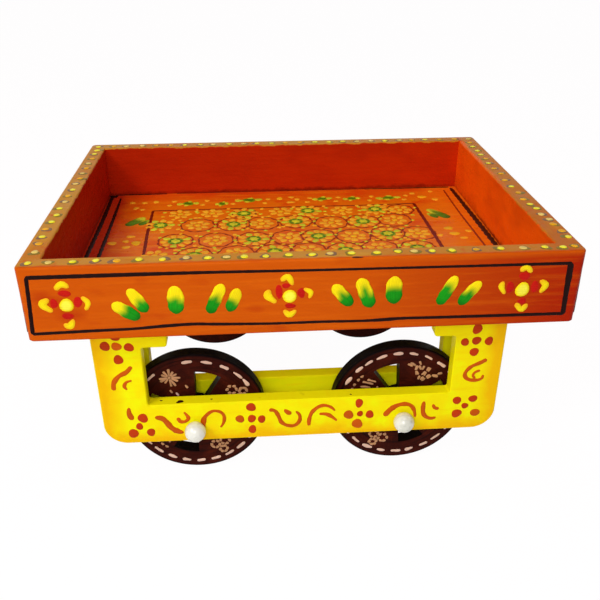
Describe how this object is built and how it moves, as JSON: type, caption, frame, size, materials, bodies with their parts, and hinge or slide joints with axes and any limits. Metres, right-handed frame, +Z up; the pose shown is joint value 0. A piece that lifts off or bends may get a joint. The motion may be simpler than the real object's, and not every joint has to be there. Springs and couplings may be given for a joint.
{
  "type": "miniature four-wheeled wooden cart tray",
  "caption": "Hand-painted miniature wooden cart: an open rectangular tray on C-shaped side boards, with windowed disc wheels turning on short pins between them.",
  "frame": {"origin": "on the ground, under the middle of the tray", "axes": "+X along the tray, the way the cart rolls; +Y from the front long side to the back one; +Z up"},
  "size_m": [0.305, 0.224, 0.1629],
  "materials": {
    "tray_paint": "glossy orange and red brush paint with painted flowers and leaves",
    "floor_paint": "glossy ochre-orange brush paint with a painted rosette panel",
    "side_board_paint": "satin yellow brush paint shaded orange at the edges, with red-orange dots and scrolls",
    "wheel_paint": "glossy dark brown brush paint with a ring of pale dashes",
    "axle_wood": "bare turned wood, waxed",
    "bead_paint": "glossy white brush paint"
  },
  "bodies": {
    "cart": {"tray_wall_front": "tray_paint", "tray_wall_back": "tray_paint", "tray_wall_left": "tray_paint", "tray_wall_right": "tray_paint", "tray_floor": "floor_paint", "side_board_front_outer": "side_board_paint", "side_board_front_inner": "side_board_paint", "side_board_back_inner": "side_board_paint", "side_board_back_outer": "side_board_paint", "axle_front_left": "axle_wood", "axle_bead_front_left": "bead_paint", "axle_front_right": "axle_wood", "axle_bead_front_right": "bead_paint", "axle_back_left": "axle_wood", "axle_bead_back_left": "bead_paint", "axle_back_right": "axle_wood", "axle_bead_back_right": "bead_paint"},
    "wheel_front_left": {"wheel_front_left": "wheel_paint"},
    "wheel_front_right": {"wheel_front_right": "wheel_paint"},
    "wheel_back_left": {"wheel_back_left": "wheel_paint"},
    "wheel_back_right": {"wheel_back_right": "wheel_paint"}
  },
  "joints": [
    {"name": "wheel_front_left_spin", "type": "hinge", "parent": "cart", "child": "wheel_front_left", "pos_m": [-0.068, -0.0784, 0.04375], "axis": [0, 1, 0], "continuous": true},
    {"name": "wheel_front_right_spin", "type": "hinge", "parent": "cart", "child": "wheel_front_right", "pos_m": [0.062, -0.0784, 0.04375], "axis": [0, 1, 0], "continuous": true},
    {"name": "wheel_back_left_spin", "type": "hinge", "parent": "cart", "child": "wheel_back_left", "pos_m": [-0.06295, 0.0754, 0.04375], "axis": [0, 1, 0], "continuous": true},
    {"name": "wheel_back_right_spin", "type": "hinge", "parent": "cart", "child": "wheel_back_right", "pos_m": [0.06215, 0.0754, 0.04375], "axis": [0, 1, 0], "continuous": true}
  ]
}
